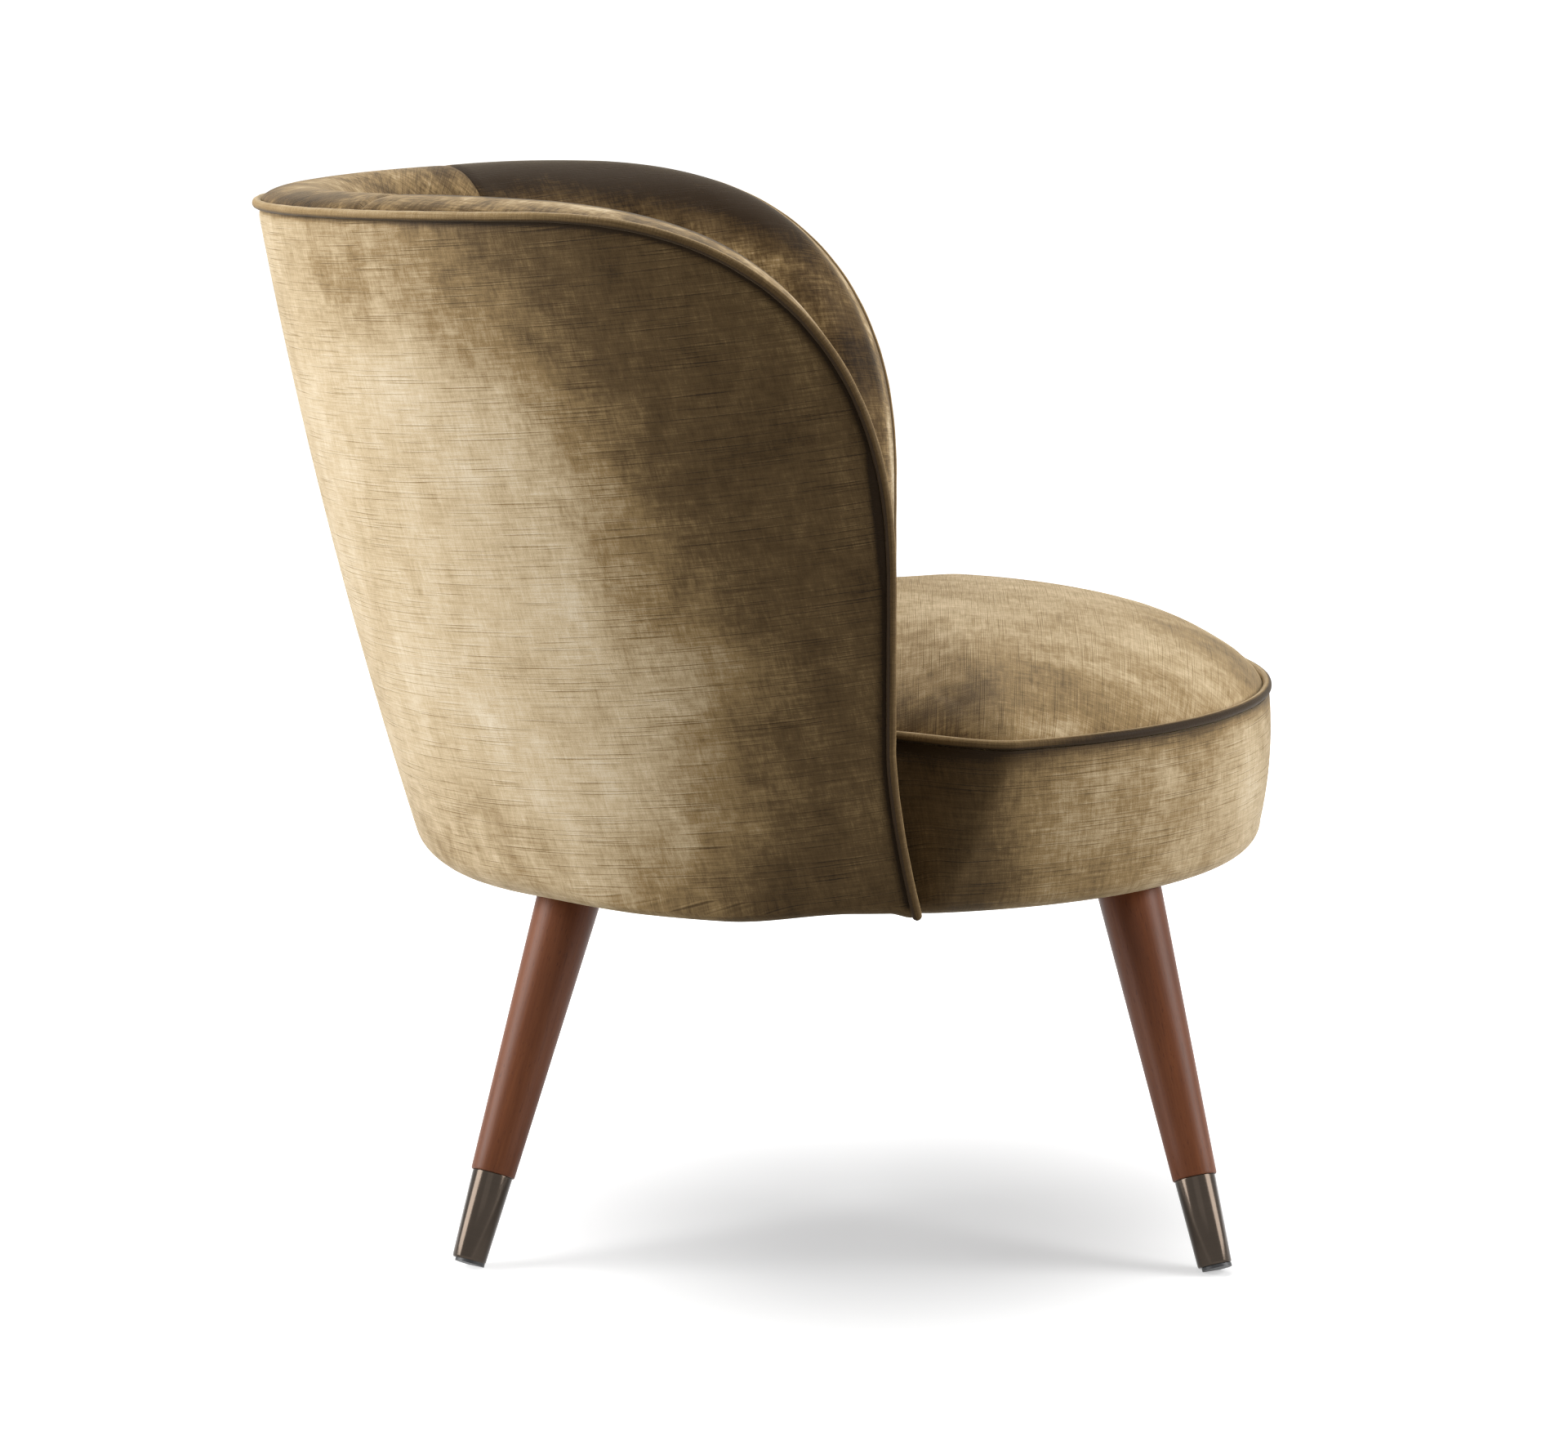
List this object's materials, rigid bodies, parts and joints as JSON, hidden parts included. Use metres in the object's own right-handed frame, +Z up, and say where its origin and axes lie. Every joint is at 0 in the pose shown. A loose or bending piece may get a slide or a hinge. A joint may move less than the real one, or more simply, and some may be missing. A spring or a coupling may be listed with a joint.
{
  "type": "easy chair",
  "caption": "Upholstered tub easy chair: round domed seat, leaning wrap-round back with piped rim, splayed tapered wooden legs with metal ferrules.",
  "frame": {"origin": "on the floor, under the middle of the chair's whole outline", "axes": "+Z up, -Y to the chair's front, +X to the right of someone who stands in front and looks at its back"},
  "size_m": [0.6402, 0.7162, 0.7175],
  "materials": {
    "velvet": "slub velvet",
    "velvet_piping": "velvet piping",
    "foam": "polyurethane foam",
    "plywood": "raw birch plywood",
    "beech": "walnut-stained beech, satin",
    "gunmetal": "polished gunmetal",
    "steel": "zinc-plated",
    "black_cloth": "black non-woven cloth",
    "black_plastic": "moulded",
    "webbing": "elastic webbing"
  },
  "bodies": {
    "root": {"seat_ring_lower": "plywood", "seat_ring_upper": "plywood", "seat_frame_posts": "plywood", "seat_band_board": "plywood", "webbing_lengthwise": "webbing", "webbing_crosswise": "webbing", "seat_foam": "foam", "band_foam": "foam", "seat_top_cover": "velvet", "seat_band_cover": "velvet", "seat_piping": "velvet_piping", "dust_cover": "black_cloth", "back_shell": "plywood", "back_foam": "foam", "back_outer_cover": "velvet", "back_panel_centre": "velvet", "back_panel_left": "velvet", "back_panel_right": "velvet", "back_piping": "velvet_piping", "back_bracket_centre": "steel", "back_bracket_left": "steel", "back_bracket_right": "steel", "bracket_ring_screws": "steel", "bracket_shell_screws": "steel", "leg_block_front_left": "plywood", "leg_front_left": "beech", "ferrule_front_left": "gunmetal", "glide_front_left": "black_plastic", "bolt_front_left": "steel", "insert_front_left": "steel", "leg_block_front_right": "plywood", "leg_front_right": "beech", "ferrule_front_right": "gunmetal", "glide_front_right": "black_plastic", "bolt_front_right": "steel", "insert_front_right": "steel", "leg_block_rear_left": "plywood", "leg_rear_left": "beech", "ferrule_rear_left": "gunmetal", "glide_rear_left": "black_plastic", "bolt_rear_left": "steel", "insert_rear_left": "steel", "leg_block_rear_right": "plywood", "leg_rear_right": "beech", "ferrule_rear_right": "gunmetal", "glide_rear_right": "black_plastic", "bolt_rear_right": "steel", "insert_rear_right": "steel"}
  },
  "joints": []
}
